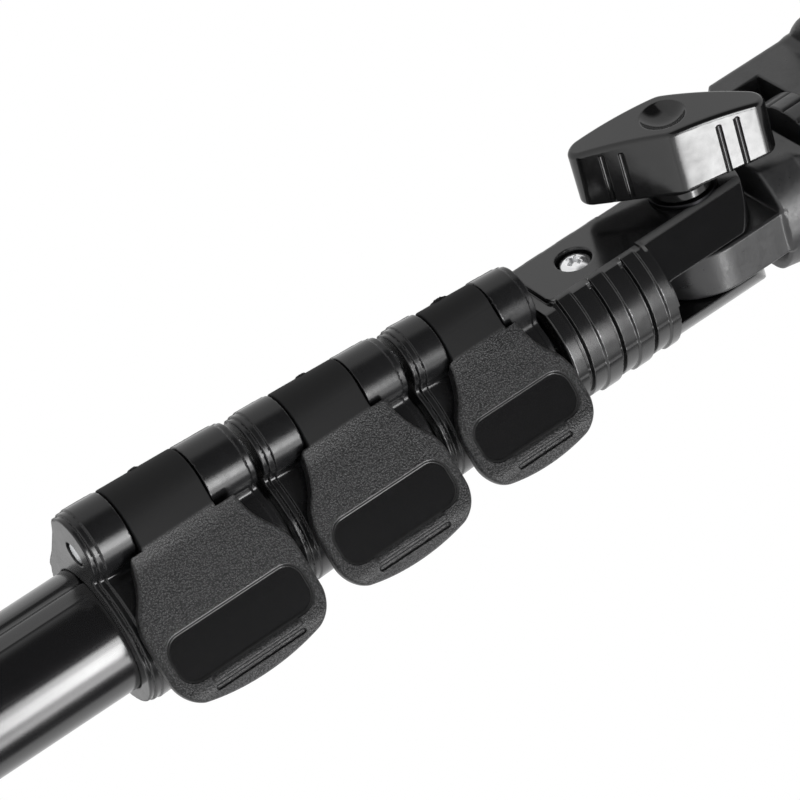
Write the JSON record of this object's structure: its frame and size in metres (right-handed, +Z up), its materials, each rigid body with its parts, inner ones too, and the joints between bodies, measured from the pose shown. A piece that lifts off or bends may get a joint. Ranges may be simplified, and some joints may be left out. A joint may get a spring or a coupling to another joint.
{
  "type": "camera monopod",
  "caption": "Hand-held telescoping camera monopod with flip-lever locks, ribbed grip, tilting fork head with a wing knob, and a platform with a captive camera screw.",
  "frame": {"origin": "centre of the flat foot under the grip's end cap", "axes": "+Z up the tubes towards the camera, -X towards the wing knob and lever hinges, -Y the side the levers close on"},
  "size_m": [0.0475, 0.0464, 0.4311],
  "materials": {
    "anodised_tube": "gloss black anodised",
    "abs_gloss": "moulded black, semi-gloss",
    "lever_plastic": "fine spark-eroded grain",
    "grip_rubber": "matt moulded",
    "zinc_steel": "bright zinc plated",
    "brass_insert": "turned",
    "nylon_guide": "moulded"
  },
  "bodies": {
    "handle": {"end_cap": "abs_gloss", "grip_sleeve": "grip_rubber", "grip_ring": "abs_gloss", "tube_1": "anodised_tube", "collar_1": "abs_gloss", "pin_1": "zinc_steel", "guide_ring_1": "nylon_guide", "clamp_pad_1": "nylon_guide"},
    "lock_lever_1": {"lever_1": "lever_plastic"},
    "section_2": {"tube_2": "anodised_tube", "plug_2": "nylon_guide", "collar_2": "abs_gloss", "pin_2": "zinc_steel", "guide_ring_2": "nylon_guide", "clamp_pad_2": "nylon_guide"},
    "lock_lever_2": {"lever_2": "lever_plastic"},
    "section_3": {"tube_3": "anodised_tube", "plug_3": "nylon_guide", "collar_3": "abs_gloss", "pin_3": "zinc_steel", "guide_ring_3": "nylon_guide", "clamp_pad_3": "nylon_guide"},
    "lock_lever_3": {"lever_3": "lever_plastic"},
    "section_4": {"tube_4": "anodised_tube", "plug_4": "nylon_guide", "fork": "abs_gloss", "fork_screw": "zinc_steel", "tilt_bolt": "zinc_steel", "knob_washer": "zinc_steel"},
    "tilt_head": {"tilt_block": "abs_gloss", "tilt_disc_near": "nylon_guide", "tilt_disc_far": "nylon_guide", "platform_pad": "grip_rubber"},
    "wing_knob": {"knob": "abs_gloss", "knob_insert": "brass_insert"},
    "screw_wheel": {"thumbwheel": "abs_gloss", "camera_screw": "zinc_steel"}
  },
  "joints": [
    {"name": "lever_1_hinge", "type": "hinge", "parent": "handle", "child": "lock_lever_1", "pos_m": [-0.01749, -0.00271, 0.2749], "axis": [0, 0, -1], "range_deg": [0, 105]},
    {"name": "section_2_slide", "type": "slide", "parent": "handle", "child": "section_2", "axis": [0, 0, 1], "range_m": [0, 0.215]},
    {"name": "lever_2_hinge", "type": "hinge", "parent": "section_2", "child": "lock_lever_2", "pos_m": [-0.01601, -0.00248, 0.30625], "axis": [0, 0, -1], "range_deg": [0, 105]},
    {"name": "section_3_slide", "type": "slide", "parent": "section_2", "child": "section_3", "axis": [0, 0, 1], "range_m": [0, 0.215]},
    {"name": "lever_3_hinge", "type": "hinge", "parent": "section_3", "child": "lock_lever_3", "pos_m": [-0.01453, -0.00225, 0.3339], "axis": [0, 0, -1], "range_deg": [0, 105]},
    {"name": "section_4_slide", "type": "slide", "parent": "section_3", "child": "section_4", "axis": [0, 0, 1], "range_m": [0, 0.215]},
    {"name": "head_tilt", "type": "hinge", "parent": "section_4", "child": "tilt_head", "pos_m": [0, 0, 0.3816], "axis": [1, 0, 0], "range_deg": [-35, 35]},
    {"name": "knob_turn", "type": "hinge", "parent": "section_4", "child": "wing_knob", "pos_m": [-0.018, 0, 0.3816], "axis": [-1, 0, 0], "continuous": true},
    {"name": "screw_turn", "type": "hinge", "parent": "tilt_head", "child": "screw_wheel", "pos_m": [0, 0, 0.4053], "axis": [0, 0, 1], "continuous": true}
  ]
}
